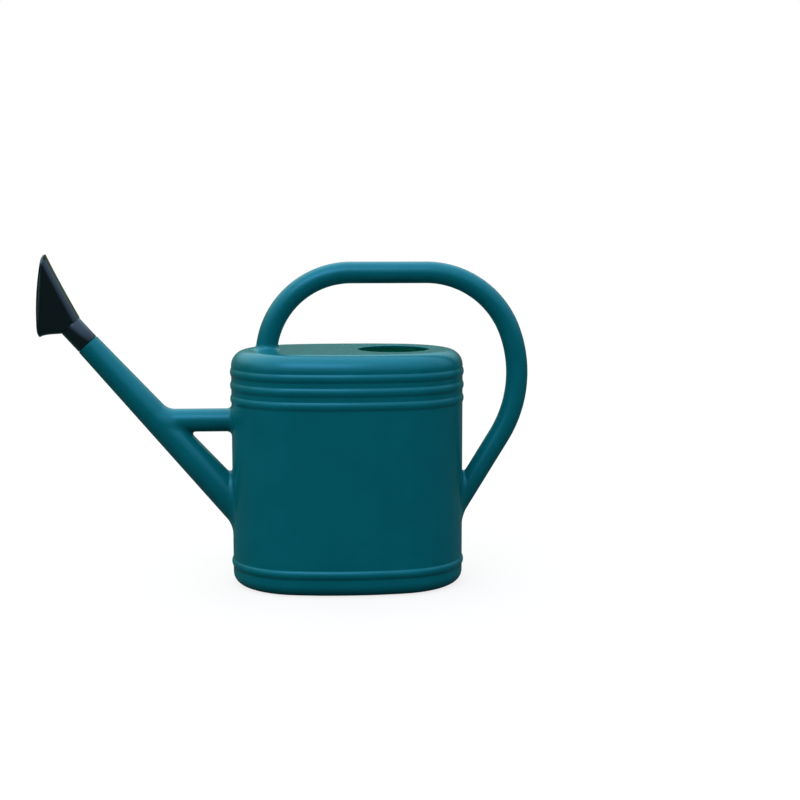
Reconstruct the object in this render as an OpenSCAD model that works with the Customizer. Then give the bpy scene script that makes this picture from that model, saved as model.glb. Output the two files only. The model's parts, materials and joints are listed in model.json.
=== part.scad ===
/* [Tank] */
// Length of the tank over its plain wall
tank_length = 260; // [200:1:320]
// Width of the tank over its plain wall
tank_width = 171; // [140:1:200]
// Height of the deck above the ground
tank_height = 264.5; // [257:0.5:330]
// Radius of the edge between wall and deck
top_edge_r = 17.8; // [8:0.2:19.6]
// Radius of the edge between wall and base
bottom_edge_r = 12.7; // [6:0.1:16]
// Thickness of the blow-moulded wall
wall = 2.2; // [1.6:0.1:3]

/* [Beads] */
// Number of beads under the deck edge
bead_count = 3; // [1:1:4]
// Distance between two beads
bead_pitch = 15; // [13:0.1:18]
// Height of one of these beads
bead_height = 9.2; // [5:0.1:10]
// How far they stand out from the wall
bead_out = 1.3; // [0.8:0.1:2.5]
// Distance from the deck down to the middle of the highest bead
bead_drop = 24.6; // [23:0.1:30]
// Height of the foot bead's middle above the ground
foot_bead_z = 24.8; // [22:0.1:32]
// Height of the foot bead
foot_bead_height = 9.2; // [8:0.1:11]
// How far the foot bead stands out from the wall
foot_bead_out = 1.6; // [1:0.1:3]

/* [Fill hole] */
// Diameter of the hole in the deck
hole_d = 80; // [60:1:90]
// Distance from the tank's back end to the middle of the hole
hole_from_end = 78; // [66:1:95]

/* [Handle] */
// Diameter of the handle's tube
handle_d = 24.3; // [20:0.1:28]
// Distance from the tank's front end to the middle of the front foot
foot_from_end = 39; // [34:1:60]
// Height of the grip's middle line above the deck
handle_rise = 85.5; // [75:0.5:110]
// Radius of the bend over the front foot
front_bend_r = 95; // [80:1:100]
// Distance from the tank's back end to where the grip starts to bend down
bend_from_end = 41.5; // [20:0.5:60]
// Radius of the first part of the rear bend
rear_bend_r = 101; // [90:1:110]
// Angle that the first part turns through
rear_bend_angle = 69; // [60:1:75]
// Radius of the second part of the rear bend
rear_sweep_r = 137; // [120:1:150]
// Angle that the second part turns through
rear_sweep_angle = 52.3; // [48:0.1:60]

/* [Spout] */
// Angle of the spout above level
spout_angle = 48.25; // [42:0.25:56]
// Height at which the spout's axis meets the end of the tank
spout_z = 94.5; // [80:0.5:120]
// Length of the spout from the end of the tank to its tip
spout_length = 237; // [200:1:290]
// Diameter of the spout at its tip
spout_tip_d = 26.8; // [25:0.1:32]
// Diameter of the spout where it meets the tank
spout_base_d = 38.3; // [34:0.1:44]
// Diameter of the straight bore in the tip
spout_bore_d = 22.6; // [18:0.1:24]

/* [Brace] */
// Diameter of the level brace between spout and tank
brace_d = 26; // [20:0.5:28]
// Height of the brace's middle line
brace_z = 185.3; // [160:0.5:190]

/* [Rose] */
// Outside diameter of the neck
neck_d = 26; // [25:0.1:30]
// Length of the neck from the spout's tip to the horn
neck_length = 28; // [20:1:34]
// Distance from the spout's tip to the middle of the face, along the spout's axis
face_reach = 73.4; // [66:0.2:84]
// How far the middle of the face lies below the spout's axis
face_drop = 1; // [0:0.1:4]
// Angle between the face and a plane across the spout's axis
face_tilt = 43.9; // [35:0.1:48]
// Height of the face over its rim
face_height = 91; // [80:0.5:105]
// Width of the face over its rim
face_width = 31; // [29:0.5:40]
// Radius of the face's corners
corner_r = 12; // [6:0.5:14]
// Depth of the rim round the face
rim_depth = 2.2; // [2:0.1:4]
// How far the face plate bulges out of the rim
face_bulge = 4.5; // [2.5:0.1:6]
// Thickness of the rose's walls and of the face plate
rose_wall = 2; // [1.5:0.1:2.4]
// Diameter of one spray hole
spray_d = 1.6; // [1.2:0.1:2]
// Distance between two spray holes
spray_pitch = 5; // [4.4:0.1:7]

/* [Rose fit] */
// Length of the spigot that stands in the spout
spigot_length = 22; // [16:1:30]
// Thickness of the spigot's wall under the seal ring
spigot_wall = 1.4; // [1:0.1:2]
// Distance from the spigot's end to the seal ring's groove
seal_from_end = 6.6; // [4:0.1:9]
// How far the spout's bore goes on past the spigot
bore_spare = 6; // [2:0.5:10]
// Width of the seal ring along the spigot
seal_width = 2.4; // [1.8:0.1:3]
// Thickness of the seal ring across its section
seal_thick = 1.5; // [1.2:0.1:1.8]
// Clearance all round a turning or sliding fit
fit = 0.05; // [0.02:0.01:0.1]
// Gap between faces that pass one another
gap = 0.3; // [0.2:0.05:0.5]

/* [Hidden] */
$fn = 96;
can_colour = [0.02, 0.30, 0.34];
rose_colour = [0.05, 0.05, 0.06];
seal_colour = [0.15, 0.15, 0.15];

// The oval is made of two end arcs and two side arcs. They meet smoothly on lines that rise 60 for every 11
// along the tank, and 11, 60 and 61 are a right triangle, which gives these radii and centres.
half_l = tank_length / 2;
half_w = tank_width / 2;
end_r = 1.1 * half_w - 0.1 * half_l;
end_x = half_l - end_r;
side_y = 6 * (half_l - half_w);
side_r = half_w + side_y;
joint_x = end_x + 11 / 60 * tank_width;
hole_x = half_l - hole_from_end;

// How far a cut runs past the face that it opens, and a piece into the one that it is joined to.
over = 1;

// The handle's path, as the centres of its bends.
handle_foot_x = -half_l + foot_from_end;
rear_bend_x = half_l - bend_from_end;
grip_z = tank_height + handle_rise;
front_x = handle_foot_x + front_bend_r;
front_z = grip_z - front_bend_r;
rear_z = grip_z - rear_bend_r;
sweep_start = 90 - rear_bend_angle;
sweep_x = rear_bend_x + (rear_bend_r - rear_sweep_r) * cos(sweep_start);
sweep_z = rear_z + (rear_bend_r - rear_sweep_r) * sin(sweep_start);
leg_angle = sweep_start - rear_sweep_angle;
leg_x = sweep_x + rear_sweep_r * cos(leg_angle);
leg_z = sweep_z + rear_sweep_r * sin(leg_angle);
leg_length = (leg_x - half_l) / sin(-leg_angle) + handle_d;

// The spout's axis runs from the end of the tank up to the tip. Its taper goes on into the tank, to be cut.
tip_x = -half_l - spout_length * cos(spout_angle);
tip_z = spout_z + spout_length * sin(spout_angle);
spout_root = spout_length + spout_base_d;
spout_root_d = spout_tip_d + (spout_base_d - spout_tip_d) * spout_root / spout_length;
bore_depth = spigot_length + bore_spare;
brace_x = -half_l - (brace_z - spout_z) / tan(spout_angle);

// The brace's bar ends inside the tank, short of the line where the tank's end arc meets its side arcs.
brace_length = -brace_x - end_x - brace_d / 4;

// A ledge between faces of horn and rim that would otherwise lie on each other.
lip = 0.6;

// The face plate's dome is part of a wide cylinder, and the ledge that holds it lies just under its ends.
face_half = face_height / 2;
dome_r = (face_half * face_half + face_bulge * face_bulge) / (2 * face_bulge);
plate_height = face_height - 2 * rose_wall - 2 * gap;
plate_width = face_width - 2 * rose_wall - 2 * gap;
plate_end_z = face_bulge - dome_r + sqrt(dome_r * dome_r - plate_height * plate_height / 4);
pocket_z = plate_end_z - rose_wall - gap;

// The spigot, from the bore inwards.
spigot_r = spout_bore_d / 2 - fit;
groove_r = spigot_r - seal_thick - fit;
waterway_r = groove_r - spigot_wall;
seal_z = seal_from_end - spigot_length;

// Points of an arc about (x, z), from angle a to angle b.
function arc(x, z, r, a, b, steps) =
    [for (i = [0 : steps]) let (t = a + (b - a) * i / steps) [x + r * cos(t), z + r * sin(t)]];

// A bead's outline going up the wall, as the arc over its chord.
function bead(z, height, out) =
    let (r = (height * height / 4 + out * out) / (2 * out), half = asin(height / 2 / r))
    arc(out - r, z, r, -half, half, 6);

// The wall's outside going up, measured outwards from the plain wall.
function wall_outside() = concat(
    arc(-bottom_edge_r, bottom_edge_r, bottom_edge_r, -90, 0, 6),
    bead(foot_bead_z, foot_bead_height, foot_bead_out),
    [for (i = [bead_count - 1 : -1 : 0])
        each bead(tank_height - bead_drop - i * bead_pitch, bead_height, bead_out)],
    arc(-top_edge_r, tank_height - top_edge_r, top_edge_r, 0, 90, 8));

// The wall's inside going down.
function wall_inside() = concat(
    arc(-top_edge_r, tank_height - top_edge_r, top_edge_r - wall, 90, 0, 8),
    arc(-bottom_edge_r, bottom_edge_r, bottom_edge_r - wall, 0, -90, 6));

// The plan of one end: what lies beyond the two lines on which the arcs meet. It reaches past the tank.
module end_plan(side)
    polygon([[side * end_x, 0], [side * joint_x, tank_width], [side * tank_length, tank_width],
        [side * tank_length, -tank_width], [side * joint_x, -tank_width]]);

// The plan of one side: what lies between those lines.
module side_plan(side)
    polygon([[-end_x, 0], [end_x, 0], [joint_x, side * tank_width], [-joint_x, side * tank_width]]);

module oval(inset) {
    difference() {
        intersection() {
            translate([0, -side_y]) circle(side_r - inset);
            translate([0, side_y]) circle(side_r - inset);
        }
        for (side = [-1, 1]) end_plan(side);
    }
    for (side = [-1, 1])
        intersection() {
            translate([side * end_x, 0]) circle(end_r - inset);
            end_plan(side);
        }
}

// The wall's section, turned all the way round at one radius.
module wall_ring(radius)
    rotate_extrude() polygon([for (p = concat(wall_outside(), wall_inside())) [radius + p[0], p[1]]]);

module tank_space() linear_extrude(tank_height) oval(0);

// Places a child at the spout's tip, with +Z along the spout.
module at_tip() translate([tip_x, 0, tip_z]) rotate([0, spout_angle - 90, 0]) children();

// Places a child at the middle of the rose's face, with +Z out of the face.
module at_face() at_tip() translate([-face_drop, 0, face_reach]) rotate([0, -face_tilt, 0]) children();

module spout_taper(inset)
    at_tip() translate([0, 0, -spout_root])
        cylinder(r1 = spout_root_d / 2 - inset, r2 = spout_tip_d / 2 - inset, h = spout_root);

module brace_bar(inset)
    translate([brace_x, 0, brace_z]) rotate([0, 90, 0]) cylinder(r = brace_d / 2 - inset, h = brace_length);

// Places a child at the middle of the rear sweep, with +X to the joint of sweep and leg and +Z sideways.
module at_sweep() translate([sweep_x, 0, sweep_z]) rotate([90, 0, 0]) rotate([0, 0, leg_angle]) children();

module leg_bar(inset)
    at_sweep() translate([rear_sweep_r, 0, 0]) rotate([90, 0, 0])
        cylinder(r = handle_d / 2 - inset, h = leg_length);

module tube_section() difference() {
    circle(handle_d / 2);
    circle(handle_d / 2 - wall);
}

module handle_bend(x, z, radius, start, angle)
    translate([x, 0, z]) rotate([90, 0, 0]) rotate_extrude(angle = angle, start = start)
        translate([radius, 0]) tube_section();

// The face's rounded outline, smaller by an inset.
module face_outline(inset) {
    height = face_height - 2 * inset;
    width = face_width - 2 * inset;
    r = corner_r - inset;
    square([height - 2 * r, width], center = true);
    square([height, width - 2 * r], center = true);
    for (x = [-1, 1], y = [-1, 1]) translate([x * (height / 2 - r), y * (width / 2 - r)]) circle(r);
}

// One slice of the horn at the face, from one depth to another.
module face_slice(inset, low, high)
    for (x = [-1, 1], y = [-1, 1])
        translate([x * (face_height / 2 - corner_r), y * (face_width / 2 - corner_r), low])
            cylinder(r = corner_r - inset, h = high - low, $fn = 32);

// The flat fan between neck and rim: its outside, or its hollow with a larger inset.
module horn_form(neck_inset, face_inset, low, high)
    hull() {
        at_tip() translate([0, 0, neck_length - 2 * over])
            cylinder(r = neck_d / 2 - neck_inset, h = over, $fn = 40);
        at_face() face_slice(face_inset, low, high);
    }

module tank_wall() color(can_colour)
    difference() {
        for (side = [-1, 1]) {
            intersection() {
                translate([side * end_x, 0, 0]) rotate([0, 0, side > 0 ? 180 : 0]) wall_ring(end_r);
                linear_extrude(tank_height) end_plan(side);
            }
            intersection() {
                translate([0, -side * side_y, 0]) rotate([0, 0, -side * 90]) wall_ring(side_r);
                linear_extrude(tank_height) side_plan(side);
            }
        }
        spout_taper(wall);
        brace_bar(wall);
        leg_bar(wall);
    }

module tank_deck() color(can_colour)
    translate([0, 0, tank_height - wall]) difference() {
        linear_extrude(wall) oval(top_edge_r);
        translate([hole_x, 0, -over]) cylinder(d = hole_d, h = wall + 2 * over);
        translate([handle_foot_x, 0, -over]) cylinder(d = handle_d - 2 * wall, h = wall + 2 * over);
    }

module tank_base() color(can_colour) linear_extrude(wall) oval(bottom_edge_r);

module handle_grip() color(can_colour)
    difference() {
        union() {
            handle_bend(front_x, front_z, front_bend_r, 90, 90);
            translate([front_x, 0, grip_z]) rotate([0, 90, 0])
                linear_extrude(rear_bend_x - front_x) tube_section();
            handle_bend(rear_bend_x, rear_z, rear_bend_r, sweep_start, rear_bend_angle);
        }
        tank_space();
    }

module handle_leg() color(can_colour)
    difference() {
        at_sweep() {
            rotate_extrude(angle = rear_sweep_angle, start = 0) translate([rear_sweep_r, 0]) tube_section();
            translate([rear_sweep_r, 0, 0]) rotate([90, 0, 0]) linear_extrude(leg_length) tube_section();
        }
        tank_space();
    }

module spout() color(can_colour)
    difference() {
        spout_taper(0);
        at_tip() translate([0, 0, -bore_depth]) cylinder(d = spout_bore_d, h = bore_depth + over);
        difference() {
            spout_taper(wall);
            at_tip() translate([0, 0, -bore_depth]) cylinder(d = spout_base_d, h = bore_depth + over);
        }
        brace_bar(wall);
        tank_space();
    }

module spout_brace() color(can_colour)
    difference() {
        brace_bar(0);
        brace_bar(wall);
        spout_taper(0);
        tank_space();
    }

module rose_horn() color(rose_colour)
    difference() {
        union() {
            at_tip() translate([0, 0, gap]) cylinder(d = neck_d, h = neck_length - gap);
            at_tip() difference() {
                translate([0, 0, -spigot_length]) cylinder(r = spigot_r, h = spigot_length + over);
                translate([0, 0, seal_z]) cylinder(r = spigot_r + over, h = seal_width + 2 * gap);
            }
            at_tip() translate([0, 0, -spigot_length]) cylinder(r = groove_r, h = spigot_length + over);
            horn_form(lip, lip, -rim_depth - lip, -rim_depth + over);
            at_face() translate([0, 0, -rim_depth]) linear_extrude(rim_depth) face_outline(0);
        }
        at_tip() translate([0, 0, -spigot_length - over])
            cylinder(r = waterway_r, h = spigot_length + neck_length + 2 * over);
        horn_form(rose_wall + lip, rose_wall + 2 * lip, -rim_depth - lip, pocket_z + lip);
        at_face() translate([0, 0, pocket_z]) linear_extrude(rim_depth) face_outline(rose_wall);
    }

// Rows of holes, as many as leave a clear edge of one pitch.
module spray_holes() {
    rows = floor((plate_width / 2 - spray_pitch / 2) / spray_pitch);
    columns = floor((plate_height / 2 - spray_pitch) / spray_pitch);
    for (i = [-columns : columns], j = [-rows : rows])
        translate([i * spray_pitch, j * spray_pitch]) circle(d = spray_d, $fn = 24);
}

module rose_face() color(rose_colour)
    at_face() intersection() {
        translate([0, 0, face_bulge - dome_r]) rotate([90, 0, 0]) difference() {
            cylinder(r = dome_r, h = face_width, center = true);
            cylinder(r = dome_r - rose_wall, h = face_width + 2 * over, center = true);
        }
        translate([0, 0, -rim_depth]) linear_extrude(rim_depth + face_bulge + over) difference() {
            face_outline(rose_wall + gap);
            spray_holes();
        }
    }

module seal_ring() color(seal_colour)
    at_tip() translate([0, 0, seal_z + gap]) difference() {
        cylinder(r = spigot_r, h = seal_width);
        translate([0, 0, -over]) cylinder(r = groove_r + fit, h = seal_width + 2 * over);
    }

tank_wall();
tank_deck();
tank_base();
handle_grip();
handle_leg();
spout();
spout_brace();
rose_horn();
rose_face();
seal_ring();
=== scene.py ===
"""The looks of the watering can: blow-moulded shell, rose, materials, light and camera."""

import json
import math
from functools import cache

import bpy
import numpy as np
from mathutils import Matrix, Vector
from mathutils.geometry import delaunay_2d_cdt


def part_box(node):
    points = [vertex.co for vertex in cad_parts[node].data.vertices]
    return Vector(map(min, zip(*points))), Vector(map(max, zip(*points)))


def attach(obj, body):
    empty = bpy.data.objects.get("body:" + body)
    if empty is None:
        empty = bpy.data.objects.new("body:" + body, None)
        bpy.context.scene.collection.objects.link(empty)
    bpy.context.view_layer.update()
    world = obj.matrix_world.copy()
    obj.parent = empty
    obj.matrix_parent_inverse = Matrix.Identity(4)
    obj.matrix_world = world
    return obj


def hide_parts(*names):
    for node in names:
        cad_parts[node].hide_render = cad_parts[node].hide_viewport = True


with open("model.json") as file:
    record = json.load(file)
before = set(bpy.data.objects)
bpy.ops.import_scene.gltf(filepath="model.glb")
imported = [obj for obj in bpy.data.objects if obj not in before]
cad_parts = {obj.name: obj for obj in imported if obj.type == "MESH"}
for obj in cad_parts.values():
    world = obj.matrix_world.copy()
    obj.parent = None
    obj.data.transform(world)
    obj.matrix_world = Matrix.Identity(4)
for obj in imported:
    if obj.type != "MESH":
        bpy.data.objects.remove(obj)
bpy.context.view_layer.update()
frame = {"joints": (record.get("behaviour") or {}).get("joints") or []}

# ---------------------------------------------------------------- the can, in millimetres

MM = 0.001
BASE_HIGH = np.array(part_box("tank_base")[1]) / MM
DECK_HIGH = np.array(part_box("tank_deck")[1]) / MM
GRIP_LOW, GRIP_HIGH = (np.array(corner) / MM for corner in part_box("handle_grip"))

# The wall leaves the rose's spigot its room in the spout's tip.
WALL = 2.05
TOP_EDGE_R = 17.8
BOTTOM_EDGE_R = 12.7
TANK_HEIGHT = DECK_HIGH[2]
HALF_LENGTH = BASE_HIGH[0] + BOTTOM_EDGE_R
HALF_WIDTH = BASE_HIGH[1] + BOTTOM_EDGE_R

BEAD_COUNT, BEAD_DROP, BEAD_PITCH = 3, 24.6, 15.0
BEAD_HEIGHT, BEAD_OUT = 9.2, 1.3
FOOT_BEAD_Z, FOOT_BEAD_HEIGHT, FOOT_BEAD_OUT = 24.8, 9.2, 1.6
BEAD_BLEND = 0.3
BEADS = [(TANK_HEIGHT - BEAD_DROP - BEAD_PITCH * i, BEAD_HEIGHT, BEAD_OUT) for i in range(BEAD_COUNT)]
BEADS.append((FOOT_BEAD_Z, FOOT_BEAD_HEIGHT, FOOT_BEAD_OUT))

HOLE_R = 40.0
HOLE_MIDDLE = np.array([52.0, 0, TANK_HEIGHT])
RIM_BEVEL = 0.6

HANDLE_R = 12.15
GRIP_Z = GRIP_HIGH[2] - HANDLE_R
FRONT_BEND_R = 95.0
FRONT_X = GRIP_LOW[0] + HANDLE_R + FRONT_BEND_R
REAR_BEND_X, REAR_BEND_R, REAR_BEND_ANGLE = 88.5, 101.0, 69.0
REAR_SWEEP_R, REAR_SWEEP_ANGLE = 137.0, 52.3
HANDLE_BLEND = 5.5
FOOT_BLEND = 6.0

ROSE_TURN = next(joint for joint in frame["joints"] if joint["name"] == "rose_turn")
TIP = np.array(ROSE_TURN["pos_m"]) / MM
AXIS = np.array(ROSE_TURN["axis"])
UP = np.array([0.0, 0.0, 1.0])
SIDEWAYS = np.array([0.0, 1.0, 0.0])
ACROSS = np.array([AXIS[2], 0, -AXIS[0]])
SPOUT_LENGTH = (TIP[0] + HALF_LENGTH) / AXIS[0]
SPOUT_TIP_R, SPOUT_BASE_R = 13.4, 19.15
SPOUT_BLEND = 6.0
BRACE_R = 13.0
BRACE_Z = np.mean([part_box("spout_brace")[i][2] for i in (0, 1)]) / MM
BRACE_BLEND = 5.0

# How far each limb runs on inside the piece that it joins, and the spout past its own tip.
GRIP_INTO_TANK, LEG_INTO_TANK, SPOUT_INTO_TANK, BRACE_INTO_TANK = 4, 10, 30, 20
SPOUT_PAST_TIP = 6

# The grid that the shell is meshed on: its steps, the share of a bead's height that the fine steps cover to
# each side of its middle, and the room round the can.
GRID_STEP, BEAD_STEP = 2.9, 0.9
BEAD_ZONE = 0.8
TIP_ROOM, LEG_ROOM, SIDE_ROOM, END_ROOM = 22, 60, 5, 3

# A point belongs to an opening if it is this near to the deck, or no further than this outside the spout.
NEAR_DECK, NEAR_SPOUT = 1, 4

# ---------------------------------------------------------------- the rose, in millimetres

NECK_R, NECK_LENGTH = 13.0, 28.0
SPIGOT_R, SPIGOT_LENGTH, WATERWAY_R = 11.25, 22.0, 8.3
GROOVE_R, GROOVE_LOW, GROOVE_HIGH = 9.75, -15.4, -12.4
SEAM = 0.3
FACE_REACH, FACE_DROP, FACE_TILT = 73.4, 1.0, math.radians(43.9)
FACE_HEIGHT, FACE_WIDTH, FACE_CORNER = 91.0, 31.0, 12.0
RIM_DEPTH, ROSE_WALL, LIP = 2.2, 2.0, 0.6
FACE_BULGE, PLATE_FALL = 4.5, 1.9
FACE_OUT = math.cos(FACE_TILT) * AXIS - math.sin(FACE_TILT) * ACROSS
FACE_LONG = math.cos(FACE_TILT) * ACROSS + math.sin(FACE_TILT) * AXIS
FACE_MIDDLE = TIP + AXIS * FACE_REACH - ACROSS * FACE_DROP

# Where the fan leaves the neck it is nearly square: half its side and its corners' radius, for its outside
# and for the hollow in it, and the steps that each takes to the face.
FAN_HALF, FAN_CORNER, FAN_STEPS = 12.9, 7.5, 16
HOLLOW_HALF, HOLLOW_CORNER, HOLLOW_STEPS = 10.6, 6, 8
WAIST = 0.03
ROSE_SMOOTH = math.radians(35)

PLATE_INSET, PLATE_THICK = ROSE_WALL + 0.12, ROSE_WALL * 0.8
# The spray holes and how far they keep from the plate's edges; then the grid of plain points between them.
SPRAY_R, SPRAY_PITCH, SPRAY_SIDES = 0.6, 4.2, 12
SPRAY_FROM_END, SPRAY_FROM_SIDE, SPRAY_TAPER = 4, 3, 0.35
SPREAD_STEP, SPREAD_X, SPREAD_Y = 2.2, 44, 12.1
SPREAD_FROM_HOLE, SPREAD_FROM_EDGE = 0.8, 1
SEAL_EDGE_R = 0.45

# The parts of a quarter ring: the points in each, and the degrees that it spans where the ring is a circle.
QUADRANT = [("flat", 4, 0, 25), ("corner", 9, 25, 65), ("long", 14, 65, 90)]

# ---------------------------------------------------------------- light and camera, in metres and strengths

ZENITH = (1.50, 2.50, 3.65)
FRONT_SKY = (0.85, 1.30, 1.98)
FRONT_HORIZON = (0.08, 0.22, 0.26)
BACK_SKY = (1.05, 1.75, 1.90)
BACK_HORIZON = (0.12, 0.19, 0.10)
RAMP_SCALE = 4.0
FRONT_STOPS = [(0.0, FRONT_HORIZON), (0.05, FRONT_HORIZON), (0.45, FRONT_SKY), (1.0, ZENITH)]
BACK_STOPS = [(0.0, BACK_HORIZON), (0.18, BACK_HORIZON), (0.55, BACK_SKY), (1.0, ZENITH)]
BACK_WAY = (-0.45, 0.90, 0)
BACK_STARTS, BACK_IS_WHOLE = -0.1, 0.5
LEFT_SHARE, RIGHT_SHARE = 1.22, 0.72
SURROUND = (1.0, 1.0, 1.0)

FLOOR_R, FLOOR_SIDES = 9, 96
FLOOR_GLOW = (0.78, 0.78, 0.78)
FLOOR_LIT = (0.22, 0.14, 0.10)
FLOOR_BOUNCE = (0.06, 0.08, 0.06)

BOX_PLACE, BOX_TARGET = (-0.45, -1.32, 1.61), (0, 0, 0.2)
BOX_WIDTH, BOX_HEIGHT, BOX_POWER, BOX_COLOUR = 1.3, 0.9, 15, (0.35, 0.55, 1.0)

EYE = (-0.0418, -1.6940, 0.4252)
EYE_PAN, EYE_TILT = 0.0597, 0.1283
SENSOR_MM, LENS_MM = 36.0, 68.17
CLIP_NEAR, CLIP_FAR = 0.05, 50

# ---------------------------------------------------------------- distance fields for the shell


def oval_distance(x, y):
    """Signed distance to the tank's plan, an oval of two end arcs and two side arcs; negative inside.

    The arcs meet smoothly on lines that rise 60 for every 11 along the tank. 11, 60 and 61 are a right
    triangle, which gives these radii and centres.
    """
    x, y = np.abs(x), np.abs(y)
    end_r = 1.1 * HALF_WIDTH - 0.1 * HALF_LENGTH
    end_x = HALF_LENGTH - end_r
    side_y = 6 * (HALF_LENGTH - HALF_WIDTH)
    on_end = 60 * (x - end_x) > 11 * y
    return np.where(on_end, np.hypot(x - end_x, y) - end_r, np.hypot(x, y + side_y) - HALF_WIDTH - side_y)


def blend(a, b, radius):
    """Union of two distance fields with a round fillet in the corner between them."""
    corner = np.hypot(np.maximum(radius - a, 0), np.maximum(radius - b, 0))
    return np.maximum(radius, np.minimum(a, b)) - corner


def rounded_edge(out, past, radius):
    """A wall face and a flat face that meet in a round edge."""
    corner = np.hypot(np.maximum(out + radius, 0), np.maximum(past + radius, 0)) - radius
    return np.where((out > -radius) & (past > -radius), corner, np.maximum(out, past))


def tank_field(p):
    """The tank with its rounded edges and its beads, each an arc of its own height that stands out."""
    out = oval_distance(p[:, 0], p[:, 1])
    body = np.maximum(
        rounded_edge(out, p[:, 2] - TANK_HEIGHT, TOP_EDGE_R),
        rounded_edge(out, -p[:, 2], BOTTOM_EDGE_R),
    )
    for middle, height, stands_out in BEADS:
        r = (height * height / 4 + stands_out * stands_out) / (2 * stands_out)
        bead = np.hypot(out - stands_out + r, p[:, 2] - middle) - r
        body = blend(body, bead, BEAD_BLEND)
    return body


def arc_distance(x, z, centre, radius, start, angle):
    """Distance in the handle's plane to an arc that runs from start through angle, in degrees."""
    dx, dz = x - centre[0], z - centre[1]
    middle = math.radians(start + angle / 2)
    turned = np.abs(np.angle(np.exp(1j * (np.arctan2(dz, dx) - middle))))
    inside = turned <= math.radians(angle / 2)
    return np.where(inside, np.abs(np.hypot(dx, dz) - radius), np.inf)


def segment_distance(x, z, a, b):
    """Distance in the handle's plane to the straight line from a to b."""
    ab = np.subtract(b, a)
    share = np.clip(((x - a[0]) * ab[0] + (z - a[1]) * ab[1]) / (ab @ ab), 0, 1)
    return np.hypot(x - a[0] - share * ab[0], z - a[1] - share * ab[1])


def handle_field(p):
    """Distance to the handle from its front foot over the rear bend, and to its rear leg."""
    x, z = p[:, 0], p[:, 2]
    front = (FRONT_X, GRIP_Z - FRONT_BEND_R)
    front_foot = (FRONT_X - FRONT_BEND_R, GRIP_Z - FRONT_BEND_R)
    rear = (REAR_BEND_X, GRIP_Z - REAR_BEND_R)
    start = 90 - REAR_BEND_ANGLE
    toward = np.array([math.cos(math.radians(start)), math.sin(math.radians(start))])
    sweep = rear + (REAR_BEND_R - REAR_SWEEP_R) * toward
    leg = math.radians(start - REAR_SWEEP_ANGLE)
    top = sweep + REAR_SWEEP_R * np.array([math.cos(leg), math.sin(leg)])
    run = (top[0] - HALF_LENGTH + LEG_INTO_TANK) / math.sin(-leg)
    foot = top + run * np.array([math.sin(leg), -math.cos(leg)])
    grip = np.minimum.reduce([
        arc_distance(x, z, front, FRONT_BEND_R, 90, 90),
        segment_distance(x, z, front_foot, (front_foot[0], front_foot[1] - GRIP_INTO_TANK)),
        segment_distance(x, z, (FRONT_X, GRIP_Z), (REAR_BEND_X, GRIP_Z)),
        arc_distance(x, z, rear, REAR_BEND_R, start, REAR_BEND_ANGLE),
    ])
    back = np.minimum(
        arc_distance(x, z, sweep, REAR_SWEEP_R, start - REAR_SWEEP_ANGLE, REAR_SWEEP_ANGLE),
        segment_distance(x, z, top, foot),
    )
    return np.hypot(grip, p[:, 1]) - HANDLE_R, np.hypot(back, p[:, 1]) - HANDLE_R


def spout_field(p):
    """The spout's cone, from inside the tank to a little past its tip."""
    along = (p - TIP) @ AXIS
    across = np.linalg.norm(p - TIP - along[:, None] * AXIS, axis=1)
    slope = (SPOUT_BASE_R - SPOUT_TIP_R) / SPOUT_LENGTH
    cone = (across - SPOUT_TIP_R + slope * along) * math.cos(math.atan(slope))
    return np.maximum(np.maximum(cone, along - SPOUT_PAST_TIP), -along - SPOUT_LENGTH - SPOUT_INTO_TANK)


def brace_field(p):
    """The level tube between the spout's axis and the tank."""
    start = TIP[0] + (BRACE_Z - TIP[2]) * AXIS[0] / AXIS[2]
    tube = np.hypot(p[:, 1], p[:, 2] - BRACE_Z) - BRACE_R
    return np.maximum(tube, np.maximum(start - p[:, 0], p[:, 0] + HALF_LENGTH - BRACE_INTO_TANK))


def can_field(p):
    """The whole moulding's outside: tank, spout, brace and handle, flowing into one another."""
    grip, leg = handle_field(p)
    body = blend(tank_field(p), spout_field(p), SPOUT_BLEND)
    body = blend(body, brace_field(p), BRACE_BLEND)
    body = blend(body, grip, FOOT_BLEND)
    handle_end = blend(body, leg, HANDLE_BLEND)
    return np.minimum(handle_end, grip)


# ---------------------------------------------------------------- meshing a field

CELL_CORNERS = [(i, j, k) for i in (0, 1) for j in (0, 1) for k in (0, 1)]


def gradient(field, p, reach=0.02):
    """The field's slope at each point, from its values on both sides along each axis."""
    parts = []
    for axis in np.eye(3):
        parts.append((field(p + reach * axis) - field(p - reach * axis)) / (2 * reach))
    return np.stack(parts, axis=1)


def settle(field, p, rounds=3, least_slope=0.5):
    """Moves points along the field's gradient on to its surface."""
    for _ in range(rounds):
        slope = gradient(field, p)
        steepness = np.maximum((slope ** 2).sum(axis=1), least_slope ** 2)
        p = p - (field(p) / steepness)[:, None] * slope
    return p


def grid_line(low, high, step, fine_step=0, zones=()):
    """Places along one axis, a step apart, and a finer step apart inside the zones."""
    places = [low]
    while places[-1] < high:
        fine = any(start <= places[-1] < end for start, end in zones)
        places.append(places[-1] + (fine_step if fine else step))
    return np.array(places)


def sample(field, lines):
    """The field's values at the nodes of a grid, worked out one layer at a time."""
    values = np.empty([len(line) for line in lines])
    ys, zs = np.meshgrid(lines[1], lines[2], indexing="ij")
    for i, x in enumerate(lines[0]):
        layer = np.stack([np.full(ys.size, x), ys.ravel(), zs.ravel()], axis=1)
        values[i] = field(layer).reshape(ys.shape)
    return values


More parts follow.
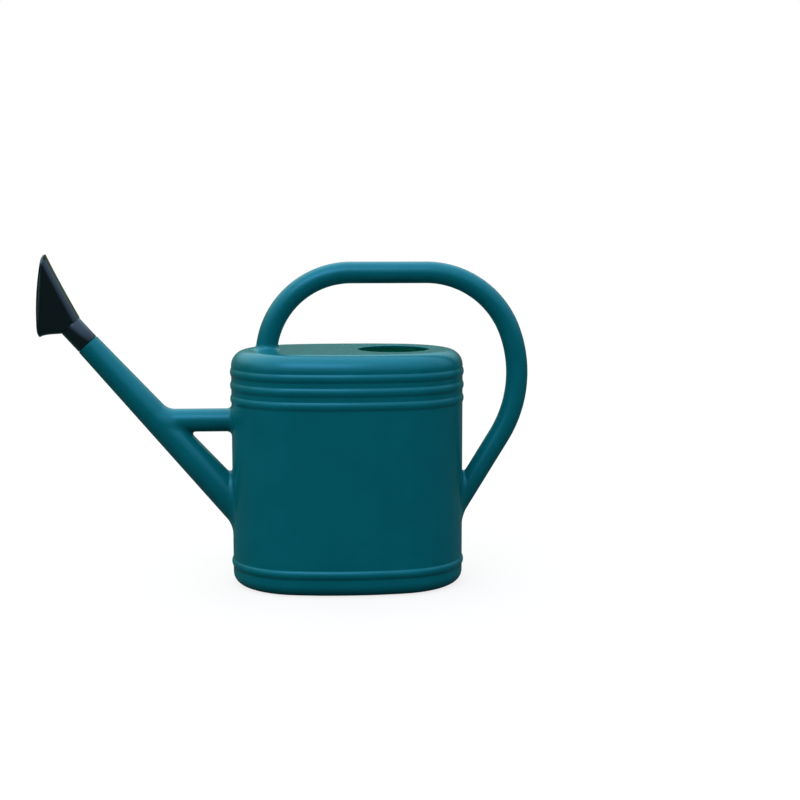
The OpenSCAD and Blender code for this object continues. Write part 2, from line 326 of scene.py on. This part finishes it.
def crossed_cells(solid):
    """The cells that the surface crosses, which have both solid and empty corners."""
    cells = np.array(solid.shape) - 1
    filled = np.zeros(cells, dtype=np.int8)
    for i, j, k in CELL_CORNERS:
        filled += solid[i:i + cells[0], j:j + cells[1], k:k + cells[2]]
    return (filled > 0) & (filled < len(CELL_CORNERS))


def cell_points(values, where):
    """The middle of the places where each cell's edges cross the surface, counted in grid steps."""
    total, hits = np.zeros((len(where), 3)), np.zeros(len(where))
    for a in CELL_CORNERS:
        for axis in range(3):
            if a[axis]:
                continue
            b = tuple(a[n] + (n == axis) for n in range(3))
            va = values[tuple((where + a).T)]
            vb = values[tuple((where + b).T)]
            cut = (va < 0) != (vb < 0)
            share = np.where(cut, va / np.where(cut, va - vb, 1), 0)
            at = where + a + share[:, None] * np.eye(3)[axis]
            total[cut] += at[cut]
            hits[cut] += 1
    return total / hits[:, None]


def cell_quads(solid, index):
    """A quad across each grid edge that crosses the surface, turned to face outward."""
    faces = []
    for axis in range(3):
        u, v = (axis + 1) % 3, (axis + 2) % 3
        change = solid != np.roll(solid, -1, axis)
        limit = [slice(1, -1)] * 3
        limit[axis] = slice(0, -1)
        mask = np.zeros_like(change)
        mask[tuple(limit)] = change[tuple(limit)]
        at = np.argwhere(mask)
        corners = []
        for du, dv in ((-1, -1), (0, -1), (0, 0), (-1, 0)):
            cell = at.copy()
            cell[:, u] += du
            cell[:, v] += dv
            corners.append(index[tuple(cell.T)])
        quads = np.stack(corners, axis=1)
        outward = solid[mask]
        quads[~outward] = quads[~outward][:, ::-1]
        faces.append(quads)
    return np.concatenate(faces)


def net(field, lines):
    """A quad mesh of the field's surface, with one vertex in each grid cell that the surface crosses."""
    values = sample(field, lines)
    solid = values < 0
    crossed = crossed_cells(solid)
    index = -np.ones(crossed.shape, dtype=np.int64)
    index[crossed] = np.arange(crossed.sum())
    points = cell_points(values, np.argwhere(crossed))
    for axis, line in enumerate(lines):
        points[:, axis] = np.interp(points[:, axis], np.arange(len(line)), line)
    return points, cell_quads(solid, index)


def relax(field, points, faces, rounds=3):
    """Evens out a net: each point goes to its neighbours' middle and back on to the surface."""
    edges = np.concatenate([faces[:, [i, (i + 1) % 4]] for i in range(4)])
    both = np.concatenate([edges, edges[:, ::-1]])
    count = np.bincount(both[:, 0], minlength=len(points))[:, None]
    for _ in range(rounds):
        total = np.stack([
            np.bincount(both[:, 0], weights=points[both[:, 1], i], minlength=len(points)) for i in range(3)
        ], axis=1)
        points = settle(field, 0.5 * points + 0.5 * total / count, rounds=1)
    return settle(field, points)


def boundary_loops(faces):
    """Closed runs of vertices along the open edges, in the faces' order."""
    edges = np.concatenate([faces[:, [i, (i + 1) % 4]] for i in range(4)])
    known = set(map(tuple, edges))
    after = {a: b for a, b in known if (b, a) not in known}
    loops = []
    while after:
        start, b = after.popitem()
        loop = [start]
        while b != start:
            loop.append(b)
            b = after.pop(b)
        loops.append(np.array(loop))
    return loops


# ---------------------------------------------------------------- the can's shell


def make_piece(name, points, faces, material, smooth_angle=math.radians(40), normals=None):
    """A mesh object from points in millimetres, with the given normals or smooth up to smooth_angle."""
    mesh = bpy.data.meshes.new(name)
    mesh.from_pydata((np.asarray(points) * MM).tolist(), [], [list(map(int, f)) for f in faces])
    mesh.shade_smooth()
    if normals is None:
        mesh.set_sharp_from_angle(angle=smooth_angle)
    else:
        mesh.normals_split_custom_set_from_vertices(normals)
    mesh.materials.append(material)
    piece = bpy.data.objects.new(name, mesh)
    bpy.context.scene.collection.objects.link(piece)
    return piece


def closed_net():
    """The shell's outside as an even net, still closed over the fill hole and the spout's tip."""
    bead_zones = [(middle - BEAD_ZONE * height, middle + BEAD_ZONE * height) for middle, height, _ in BEADS]
    points, faces = net(can_field, [
        grid_line(TIP[0] - TIP_ROOM, GRIP_HIGH[0] + LEG_ROOM, GRID_STEP),
        grid_line(-HALF_WIDTH - SIDE_ROOM, HALF_WIDTH + SIDE_ROOM, GRID_STEP),
        grid_line(-END_ROOM, GRIP_HIGH[2] + END_ROOM, GRID_STEP, BEAD_STEP, bead_zones),
    ])
    return relax(can_field, points, faces), faces


def cut_openings(points, faces):
    """Leaves out the faces over the fill hole and past the spout's tip."""
    from_hole = np.hypot(points[:, 0] - HOLE_MIDDLE[0], points[:, 1])
    in_hole = (from_hole < HOLE_R + RIM_BEVEL) & (np.abs(points[:, 2] - TANK_HEIGHT) < NEAR_DECK)
    along = (points - TIP) @ AXIS
    from_axis = np.linalg.norm(points - TIP - along[:, None] * AXIS, axis=1)
    past_tip = (along > -RIM_BEVEL) & (from_axis < SPOUT_TIP_R + NEAR_SPOUT)
    faces = faces[~(in_hole | past_tip)[faces].any(axis=1)]
    used, faces = np.unique(faces, return_inverse=True)
    return points[used], faces.reshape(-1, 4)


def spokes(points, centre, axis):
    """Unit vectors from an axis straight out to each point."""
    spoke = points - centre
    spoke = spoke - (spoke @ axis)[:, None] * axis
    return spoke / np.linalg.norm(spoke, axis=1)[:, None]


def round_off(loop, points, outward):
    """Moves an open edge's points on to a circle, and gives the way from each into the opening."""
    if points[loop].mean(axis=0)[0] > 0:
        spoke = spokes(points[loop], HOLE_MIDDLE, UP)
        points[loop] = HOLE_MIDDLE + spoke * (HOLE_R + RIM_BEVEL)
        outward[loop] = UP
        return -spoke
    spoke = spokes(points[loop], TIP, AXIS)
    points[loop] = TIP - AXIS * RIM_BEVEL + spoke * SPOUT_TIP_R
    outward[loop] = spoke
    return np.tile(AXIS, (len(loop), 1))


def can_shell():
    """The moulding as one hollow shell, open at the fill hole and at the spout's tip."""
    points, faces = cut_openings(*closed_net())
    outward = gradient(can_field, points)
    outward /= np.linalg.norm(outward, axis=1)[:, None]
    rims = [(loop, round_off(loop, points, outward)) for loop in boundary_loops(faces)]

    inner = points - WALL * outward
    count = len(points)
    all_points = [points, inner]
    all_normals = [outward, -outward]
    all_faces = [faces, faces[:, ::-1] + count]
    total = 2 * count
    for loop, open_way in rims:
        size = len(loop)
        outer_step = RIM_BEVEL * (open_way - outward[loop])
        inner_step = RIM_BEVEL * (open_way + outward[loop])
        all_points += [points[loop] + outer_step, inner[loop] + inner_step]
        all_normals += [open_way, open_way]
        rings = [loop, total + np.arange(size), total + size + np.arange(size), loop + count]
        for near, far in zip(rings, rings[1:]):
            all_faces.append(np.stack([near, far, np.roll(far, -1), np.roll(near, -1)], axis=1))
        total += 2 * size
    shell = make_piece("can_shell", np.concatenate(all_points), np.concatenate(all_faces), can_plastic(),
                       normals=np.concatenate(all_normals))
    # The inner faces inside the tank take a second material whose lighter colour is painted light, for
    # daylight through the wall.
    shell.data.materials.append(can_inside())
    slots = np.zeros(len(shell.data.polygons), dtype=np.int32)
    slots[len(faces):2 * len(faces)] = inner[faces].mean(axis=1)[:, 0] > -HALF_LENGTH
    shell.data.polygons.foreach_set("material_index", slots)
    return shell


# ---------------------------------------------------------------- the rose

# The rose is a run of rings with the same number of points, so one ring joins the next all round.


def quadrant_points(half_x, half_y, r, circle):
    """A quarter of a ring, from +X to +Y: a circle of radius half_x, or a rounded rectangle."""
    points = []
    for part, count, low, high in QUADRANT:
        for i in range(count):
            share = i / count
            if circle:
                t = math.radians(low + (high - low) * share)
                points.append((half_x * math.cos(t), half_x * math.sin(t)))
            elif part == "flat":
                points.append((half_x, (half_y - r) * share))
            elif part == "corner":
                t = math.pi / 2 * share
                points.append((half_x - r + r * math.cos(t), half_y - r + r * math.sin(t)))
            else:
                points.append(((half_x - r) * (1 - share), half_y))
    return points


def ring(half_x, half_y=0, r=0):
    """A whole ring in a plane: a circle if only half_x is given."""
    circle = half_y == 0
    quarter = quadrant_points(half_x, half_y, r, circle)
    last = (0.0, half_x if circle else half_y)
    mirrored = [(-x, y) for x, y in reversed(quarter[1:])]
    upper = quarter + [last] + mirrored
    lower = [(-x, -y) for x, y in upper]
    return np.array(upper + lower)


def rose_place(flat, along):
    """Puts a ring across the spout's axis, at a distance from its tip."""
    return TIP + np.outer(flat[:, 0], ACROSS) + np.outer(flat[:, 1], SIDEWAYS) + AXIS * along


def face_place(flat, depth):
    """Puts points of the face's plane in place, each raised by the depth or by a depth of its own."""
    raised = np.reshape(depth, (-1, 1)) * FACE_OUT
    return FACE_MIDDLE + np.outer(flat[:, 0], FACE_LONG) + np.outer(flat[:, 1], SIDEWAYS) + raised


def face_ring(inset, depth):
    """The face's outline, drawn in by the inset and raised by the depth."""
    r = max(FACE_CORNER - inset, 1.0)
    return face_place(ring(FACE_HEIGHT / 2 - inset, FACE_WIDTH / 2 - inset, r), depth)


def fan(start, end, steps):
    """Rings from the neck's end to the face, drawn in a little at the waist."""
    rings = []
    for i in range(steps + 1):
        s = i / steps
        flat = (1 - s) * start + s * end
        middle = flat.mean(axis=0)
        rings.append(middle + (flat - middle) * (1 - 4 * WAIST * s * (1 - s)))
    return rings


def lathe(profile):
    """Round rings about the spout's axis, one for each radius and distance from the tip."""
    return [rose_place(ring(r), along) for r, along in profile]


def ring_piece(name, rings, material, **look):
    """A piece whose skin runs from each ring to the next, and from the last one back to the first."""
    size = len(rings[0])
    faces = []
    for n in range(len(rings)):
        near, far = n * size, (n + 1) % len(rings) * size
        faces += [(near + i, near + (i + 1) % size, far + (i + 1) % size, far + i) for i in range(size)]
    return make_piece(name, np.concatenate(rings), faces, material, **look)


def dome(x, y):
    """Depth of the plate's top: a long dome that also falls off to its sides."""
    half = FACE_HEIGHT / 2
    dome_r = (half * half + FACE_BULGE * FACE_BULGE) / (2 * FACE_BULGE)
    fall = PLATE_FALL * (y / (FACE_WIDTH / 2)) ** 2
    return FACE_BULGE - dome_r + np.sqrt(dome_r * dome_r - x * x) - fall * (1 - (x / half) ** 2)


def rose_horn():
    """Spigot, neck, fan and rim in one moulding with its waterway through it."""
    plate_end = dome(FACE_HEIGHT / 2 - ROSE_WALL - SEAM, 0)
    pocket = plate_end - ROSE_WALL - SEAM
    fan_root = rose_place(ring(FAN_HALF, FAN_HALF, FAN_CORNER), NECK_LENGTH)
    hollow_root = rose_place(ring(HOLLOW_HALF, HOLLOW_HALF, HOLLOW_CORNER), NECK_LENGTH)
    outside = fan(fan_root, face_ring(LIP, -RIM_DEPTH), FAN_STEPS)
    inside = fan(hollow_root, face_ring(ROSE_WALL + 2 * LIP, pocket), HOLLOW_STEPS)

    rings = lathe([(WATERWAY_R, -SPIGOT_LENGTH + 0.5), (WATERWAY_R, 0), (WATERWAY_R, NECK_LENGTH - 2)])
    rings += inside
    # From the plate's pocket over the rim's rounded top to the fan, as (inset, depth).
    rim = [
        (ROSE_WALL, pocket), (ROSE_WALL, -0.4), (ROSE_WALL - 0.3, 0), (1.5, 0), (1.1, -0.1), (0.65, -0.4),
        (0.28, -0.8), (0.08, -1.25), (0, -1.7), (0.12, -RIM_DEPTH + 0.15), (0.45, -RIM_DEPTH),
    ]
    rings += [face_ring(inset, depth) for inset, depth in rim]
    rings += outside[::-1]
    rings += lathe([
        (NECK_R - 0.15, NECK_LENGTH - 0.3), (NECK_R, NECK_LENGTH - 0.9), (NECK_R, NECK_LENGTH / 2),
        (NECK_R, SEAM + 0.6), (NECK_R - 0.2, SEAM + 0.15), (NECK_R - 0.6, SEAM), (SPIGOT_R + 0.1, SEAM),
        (SPIGOT_R, 0), (SPIGOT_R, GROOVE_HIGH), (GROOVE_R, GROOVE_HIGH), (GROOVE_R, GROOVE_LOW),
        (SPIGOT_R, GROOVE_LOW), (SPIGOT_R, -SPIGOT_LENGTH + 0.8), (SPIGOT_R - 0.8, -SPIGOT_LENGTH),
        (WATERWAY_R + 0.4, -SPIGOT_LENGTH),
    ])
    return ring_piece("rose_horn_moulding", rings, rose_plastic(), smooth_angle=ROSE_SMOOTH)


def spray_holes():
    """Middles of the holes on the face, in staggered rows along it that get shorter to its sides."""
    half_x = FACE_HEIGHT / 2 - ROSE_WALL - SEAM - SPRAY_FROM_END
    half_y = FACE_WIDTH / 2 - ROSE_WALL - SEAM - SPRAY_FROM_SIDE
    row_pitch = SPRAY_PITCH * math.sqrt(3) / 2
    rows = int(half_y / row_pitch)
    holes = []
    for row in range(-rows, rows + 1):
        shift = SPRAY_PITCH / 2 if row % 2 else 0
        reach = half_x - SPRAY_TAPER * max(0, abs(row) - 1) * SPRAY_PITCH
        count = int((reach + shift) / SPRAY_PITCH) + 1
        for i in range(-count, count + 1):
            x = i * SPRAY_PITCH + shift
            if abs(x) <= reach:
                holes.append((x, row * row_pitch))
    return holes


def in_outline(p, inset):
    """Whether a point of the face's plane lies in its outline, drawn in by the inset."""
    half_x, half_y = FACE_HEIGHT / 2 - inset, FACE_WIDTH / 2 - inset
    r = max(FACE_CORNER - inset, 0.5)
    dx, dy = max(abs(p[0]) - half_x + r, 0), max(abs(p[1]) - half_y + r, 0)
    return abs(p[0]) <= half_x and abs(p[1]) <= half_y and math.hypot(dx, dy) <= r + 1e-6


def spread_points(holes):
    """A grid of points on the plate, clear of its holes and its edge, so that the dome comes out even."""
    xs = np.arange(-SPREAD_X, SPREAD_X + 0.1, SPREAD_STEP)
    ys = np.arange(-SPREAD_Y, SPREAD_Y + 0.1, SPREAD_STEP)
    clear = SPRAY_R + SPREAD_FROM_HOLE
    return [
        (x, y) for x in xs for y in ys
        if np.hypot(*(holes - (x, y)).T).min() > clear and in_outline((x, y), PLATE_INSET + SPREAD_FROM_EDGE)
    ]


def face_plate():
    """The domed plate with its spray holes, cut from one sheet and given its thickness."""
    holes = np.array(spray_holes())
    outline = ring(FACE_HEIGHT / 2 - PLATE_INSET, FACE_WIDTH / 2 - PLATE_INSET, FACE_CORNER - PLATE_INSET)
    points = [tuple(p) for p in outline]
    loops = [list(range(len(points)))]
    for x, y in holes:
        loops.append([len(points) + i for i in range(SPRAY_SIDES)])
        for i in range(SPRAY_SIDES):
            t = 2 * math.pi * i / SPRAY_SIDES
            points.append((x + SPRAY_R * math.cos(t), y + SPRAY_R * math.sin(t)))
    points += spread_points(holes)
    edges = [(loop[i], loop[(i + 1) % len(loop)]) for loop in loops for i in range(len(loop))]
    flat, _, triangles, _, _, _ = delaunay_2d_cdt([Vector(p) for p in points], edges, [], 0, 1e-6)
    flat = np.array([tuple(p) for p in flat])
    kept = []
    for triangle in triangles:
        middle = flat[list(triangle)].mean(axis=0)
        if np.hypot(*(holes - middle).T).min() > SPRAY_R * 0.97 and in_outline(middle, PLATE_INSET):
            a, b, c = (flat[i] for i in triangle)
            turn = (b[0] - a[0]) * (c[1] - a[1]) - (b[1] - a[1]) * (c[0] - a[0])
            kept.append(tuple(triangle) if turn > 0 else tuple(reversed(triangle)))
    return plate_piece(flat, kept)


def plate_piece(flat, triangles):
    """Domes a flat sheet of triangles, gives it a thickness and closes its edges and its holes' walls."""
    top = face_place(flat, dome(flat[:, 0], flat[:, 1]))
    under = top - PLATE_THICK * FACE_OUT
    count = len(flat)
    known = {(t[i], t[(i + 1) % 3]) for t in triangles for i in range(3)}
    rim = [(a, b) for a, b in known if (b, a) not in known]
    faces = list(triangles) + [tuple(i + count for i in reversed(t)) for t in triangles]
    faces += [(b, a, a + count, b + count) for a, b in sorted(rim)]
    return make_piece("rose_face_plate", np.concatenate([top, under]), faces, rose_plastic(), ROSE_SMOOTH)


def seal_ring():
    """A rubber ring with rounded edges in the spigot's groove."""
    inner, outer = GROOVE_R + 0.05 + SEAL_EDGE_R, SPIGOT_R - SEAL_EDGE_R
    low, high = GROOVE_LOW + SEAM + SEAL_EDGE_R, GROOVE_HIGH - SEAM - SEAL_EDGE_R
    profile = []
    for (x, z), start in (((outer, high), 0), ((inner, high), 90), ((inner, low), 180), ((outer, low), 270)):
        for i in range(5):
            t = math.radians(start + 90 * i / 4)
            profile.append((x + SEAL_EDGE_R * math.cos(t), z + SEAL_EDGE_R * math.sin(t)))
    return ring_piece("seal_ring_rubber", lathe(profile), seal_rubber())


# ---------------------------------------------------------------- materials


def new_material(name):
    """A material with its nodes, its links, its shader and the object's own coordinates."""
    material = bpy.data.materials.new(name)
    material.use_nodes = True
    nodes = material.node_tree.nodes
    coords = nodes.new("ShaderNodeTexCoord").outputs["Object"]
    return material, nodes, material.node_tree.links, nodes["Principled BSDF"], coords


def noise(nodes, links, coords, scale, detail=3.0, roughness=0.55):
    node = nodes.new("ShaderNodeTexNoise")
    node.inputs["Scale"].default_value = scale
    node.inputs["Detail"].default_value = detail
    node.inputs["Roughness"].default_value = roughness
    links.new(coords, node.inputs["Vector"])
    return node.outputs["Fac"]


def mottle(nodes, links, value, dark, light, low=0.0, high=1.0):
    """A colour that goes from dark to light as the value goes from low to high."""
    node = nodes.new("ShaderNodeValToRGB")
    first, last = node.color_ramp.elements
    first.position, last.position = low, high
    first.color, last.color = (*dark, 1), (*light, 1)
    links.new(value, node.inputs["Fac"])
    return node.outputs["Color"]


def spread_value(nodes, links, value, low, high):
    """A value from 0 to 1 stretched to run from low to high."""
    node = nodes.new("ShaderNodeMapRange")
    node.inputs["To Min"].default_value = low
    node.inputs["To Max"].default_value = high
    links.new(value, node.inputs["Value"])
    return node.outputs["Result"]


def bump(nodes, links, height, distance, strength, below=None):
    """A surface normal tilted by a height, on top of another bump if one is given."""
    node = nodes.new("ShaderNodeBump")
    node.inputs["Strength"].default_value = strength
    node.inputs["Distance"].default_value = distance
    links.new(height, node.inputs["Height"])
    if below is not None:
        links.new(below, node.inputs["Normal"])
    return node.outputs["Normal"]


def parting_line(nodes, links, coords):
    """1 on the plane between the mould's two halves, and 0 from just under a millimetre away."""
    split = nodes.new("ShaderNodeSeparateXYZ")
    links.new(coords, split.inputs["Vector"])
    away = nodes.new("ShaderNodeMath")
    away.operation = "ABSOLUTE"
    links.new(split.outputs["Y"], away.inputs[0])
    line = nodes.new("ShaderNodeMapRange")
    line.interpolation_type = "SMOOTHSTEP"
    line.inputs["From Min"].default_value = 0.0001
    line.inputs["From Max"].default_value = 0.0009
    line.inputs["To Min"].default_value = 1.0
    line.inputs["To Max"].default_value = 0.0
    links.new(away.outputs[0], line.inputs["Value"])
    return line.outputs["Result"]


def can_plastic():
    """Blow-moulded polyethylene: satin, with a fine mould grain, slow waves and the mould's parting line."""
    material, nodes, links, shader, coords = new_material("can_plastic")
    clouds = noise(nodes, links, coords, 18.0)
    colour = mottle(nodes, links, clouds, (0.0005, 0.093, 0.085), (0.0008, 0.105, 0.096), 0.3, 0.7)
    links.new(colour, shader.inputs["Base Color"])
    rough = spread_value(nodes, links, noise(nodes, links, coords, 60.0), 0.21, 0.27)
    links.new(rough, shader.inputs["Roughness"])
    shader.inputs["IOR"].default_value = 1.46
    shader.inputs["Specular Tint"].default_value = (0.35, 0.9, 1.0, 1)
    shader.inputs["Subsurface Weight"].default_value = 0.25
    shader.inputs["Subsurface Radius"].default_value = (0.1, 1.0, 0.85)
    shader.inputs["Subsurface Scale"].default_value = 0.002
    grain = bump(nodes, links, noise(nodes, links, coords, 900.0, 2.0), 0.00008, 0.2)
    waves = bump(nodes, links, noise(nodes, links, coords, 14.0, 1.0), 0.004, 0.05, grain)
    seam = bump(nodes, links, parting_line(nodes, links, coords), 0.0003, 0.6, waves)
    links.new(seam, shader.inputs["Normal"])
    return material


def can_inside():
    """The tank's inside, with painted light: lighter than the outside, standing in for daylight that comes
    through the thin wall.
    """
    material, nodes, links, shader, coords = new_material("can_inside")
    clouds = noise(nodes, links, coords, 18.0)
    # Painted light: this green, far lighter than the outside's, stands in for daylight that comes through
    # the wall.
    colour = mottle(nodes, links, clouds, (0.004, 0.60, 0.44), (0.005, 0.66, 0.49))
    links.new(colour, shader.inputs["Base Color"])
    shader.inputs["Roughness"].default_value = 0.5
    links.new(bump(nodes, links, noise(nodes, links, coords, 500.0), 0.0001, 0.3), shader.inputs["Normal"])
    return material


@cache
def rose_plastic():
    """Injection-moulded plastic: glossy black with a faint unevenness in its polish."""
    material, nodes, links, shader, coords = new_material("rose_plastic")
    clouds = noise(nodes, links, coords, 40.0)
    colour = mottle(nodes, links, clouds, (0.0028, 0.0024, 0.0024), (0.0050, 0.0044, 0.0044))
    links.new(colour, shader.inputs["Base Color"])
    rough = spread_value(nodes, links, noise(nodes, links, coords, 90.0), 0.06, 0.11)
    links.new(rough, shader.inputs["Roughness"])
    shader.inputs["IOR"].default_value = 1.52
    waves = bump(nodes, links, noise(nodes, links, coords, 120.0, 1.0), 0.0006, 0.08)
    links.new(waves, shader.inputs["Normal"])
    return material


def seal_rubber():
    """Dull black rubber with a fine grain."""
    material, nodes, links, shader, coords = new_material("seal_rubber")
    grain = noise(nodes, links, coords, 1500.0)
    colour = mottle(nodes, links, grain, (0.010, 0.010, 0.010), (0.024, 0.024, 0.024))
    links.new(colour, shader.inputs["Base Color"])
    shader.inputs["Roughness"].default_value = 0.75
    links.new(bump(nodes, links, grain, 0.0001, 0.4), shader.inputs["Normal"])
    return material


# ---------------------------------------------------------------- studio


def new_floor():
    """A round pale floor, far wider than the object."""
    points = [(0, 0, 0)]
    for i in range(FLOOR_SIDES):
        t = 2 * math.pi * i / FLOOR_SIDES
        points.append((FLOOR_R * math.cos(t), FLOOR_R * math.sin(t), 0))
    faces = [(0, 1 + i, 1 + (i + 1) % FLOOR_SIDES) for i in range(FLOOR_SIDES)]
    mesh = bpy.data.meshes.new("floor")
    mesh.from_pydata(points, [], faces)
    floor = bpy.data.objects.new("floor", mesh)
    bpy.context.scene.collection.objects.link(floor)
    mesh.materials.append(floor_paint())


def floor_paint():
    """White to the camera, with the object's soft shadow; darker for the light that it throws back."""
    material = bpy.data.materials.new("floor_paint")
    material.use_nodes = True
    nodes, links = material.node_tree.nodes, material.node_tree.links
    nodes.clear()
    glow = nodes.new("ShaderNodeEmission")
    glow.inputs["Color"].default_value = (*FLOOR_GLOW, 1)
    lit = nodes.new("ShaderNodeBsdfDiffuse")
    lit.inputs["Color"].default_value = (*FLOOR_LIT, 1)
    seen = nodes.new("ShaderNodeAddShader")
    links.new(glow.outputs[0], seen.inputs[0])
    links.new(lit.outputs[0], seen.inputs[1])
    bounce = nodes.new("ShaderNodeBsdfDiffuse")
    bounce.inputs["Color"].default_value = (*FLOOR_BOUNCE, 1)
    output = nodes.new("ShaderNodeOutputMaterial")
    links.new(camera_sees(nodes, links, seen, bounce), output.inputs["Surface"])
    return material


def camera_sees(nodes, links, seen, thrown):
    """One shader for what the camera sees directly, and another for the light that reaches the object."""
    path = nodes.new("ShaderNodeLightPath")
    mix = nodes.new("ShaderNodeMixShader")
    links.new(path.outputs["Is Camera Ray"], mix.inputs["Fac"])
    links.new(thrown.outputs[0], mix.inputs[1])
    links.new(seen.outputs[0], mix.inputs[2])
    return mix.outputs[0]


def sky_ramp(nodes, stops):
    """A colour ramp from (position, colour) pairs, with colours as shares of RAMP_SCALE."""
    node = nodes.new("ShaderNodeValToRGB")
    while len(node.color_ramp.elements) < len(stops):
        node.color_ramp.elements.new(0.5)
    for element, (position, colour) in zip(node.color_ramp.elements, stops):
        element.position = position
        element.color = (*[value / RAMP_SCALE for value in colour], 1)
    return node


def backward_share(nodes, links, direction):
    """How far a direction points to the back of the studio, from 0 to 1."""
    away = nodes.new("ShaderNodeVectorMath")
    away.operation = "DOT_PRODUCT"
    away.inputs[1].default_value = BACK_WAY
    links.new(direction, away.inputs[0])
    share = nodes.new("ShaderNodeMapRange")
    share.inputs["From Min"].default_value = BACK_STARTS
    share.inputs["From Max"].default_value = BACK_IS_WHOLE
    links.new(away.outputs["Value"], share.inputs["Value"])
    return share.outputs["Result"]


def surround():
    """A white surround to the camera, and a soft sky that lights the object, stronger on the left."""
    world = bpy.data.worlds.new("surround")
    world.use_nodes = True
    nodes, links = world.node_tree.nodes, world.node_tree.links
    nodes.clear()
    direction = nodes.new("ShaderNodeTexCoord").outputs["Generated"]
    split = nodes.new("ShaderNodeSeparateXYZ")
    links.new(direction, split.inputs["Vector"])
    sky = nodes.new("ShaderNodeMix")
    sky.data_type = "RGBA"
    links.new(backward_share(nodes, links, direction), sky.inputs["Factor"])
    for stops, side in ((FRONT_STOPS, "A"), (BACK_STOPS, "B")):
        ramp = sky_ramp(nodes, stops)
        links.new(split.outputs["Z"], ramp.inputs["Fac"])
        links.new(ramp.outputs["Color"], sky.inputs[side])
    light = nodes.new("ShaderNodeBackground")
    links.new(sky.outputs["Result"], light.inputs["Color"])
    sideways = nodes.new("ShaderNodeMapRange")
    sideways.inputs["From Min"].default_value = -1.0
    sideways.inputs["To Min"].default_value = RAMP_SCALE * LEFT_SHARE
    sideways.inputs["To Max"].default_value = RAMP_SCALE * RIGHT_SHARE
    links.new(split.outputs["X"], sideways.inputs["Value"])
    links.new(sideways.outputs["Result"], light.inputs["Strength"])
    seen = nodes.new("ShaderNodeBackground")
    seen.inputs["Color"].default_value = (*SURROUND, 1)
    output = nodes.new("ShaderNodeOutputWorld")
    links.new(camera_sees(nodes, links, seen, light), output.inputs["Surface"])
    bpy.context.scene.world = world


def front_box():
    """A soft box in front of the object, up and to the left."""
    data = bpy.data.lights.new("front_box", "AREA")
    data.shape = "RECTANGLE"
    data.size, data.size_y = BOX_WIDTH, BOX_HEIGHT
    data.energy, data.color = BOX_POWER, BOX_COLOUR
    light = bpy.data.objects.new("front_box", data)
    light.location = BOX_PLACE
    light.visible_camera = False
    light.rotation_euler = (Vector(BOX_TARGET) - Vector(BOX_PLACE)).to_track_quat("-Z", "Y").to_euler()
    bpy.context.scene.collection.objects.link(light)


def camera():
    """The photo's view."""
    data = bpy.data.cameras.new("camera")
    data.sensor_width = SENSOR_MM
    data.lens = LENS_MM
    data.clip_start, data.clip_end = CLIP_NEAR, CLIP_FAR
    eye = bpy.data.objects.new("camera", data)
    eye.location = EYE
    eye.rotation_euler = (math.pi / 2 - EYE_TILT, 0, -EYE_PAN)
    bpy.context.scene.collection.objects.link(eye)
    bpy.context.scene.camera = eye
    bpy.context.scene.view_settings.view_transform = "Standard"


# ---------------------------------------------------------------- assembly

camera()
new_floor()
surround()
front_box()

shell = can_shell()
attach(shell, "can")
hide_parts("tank_wall", "tank_deck", "tank_base", "handle_grip", "handle_leg", "spout", "spout_brace")

horn = rose_horn()
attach(horn, "rose")
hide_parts("rose_horn")

plate = face_plate()
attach(plate, "rose")
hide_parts("rose_face")

seal = seal_ring()
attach(seal, "rose_seal")
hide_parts("seal_ring")
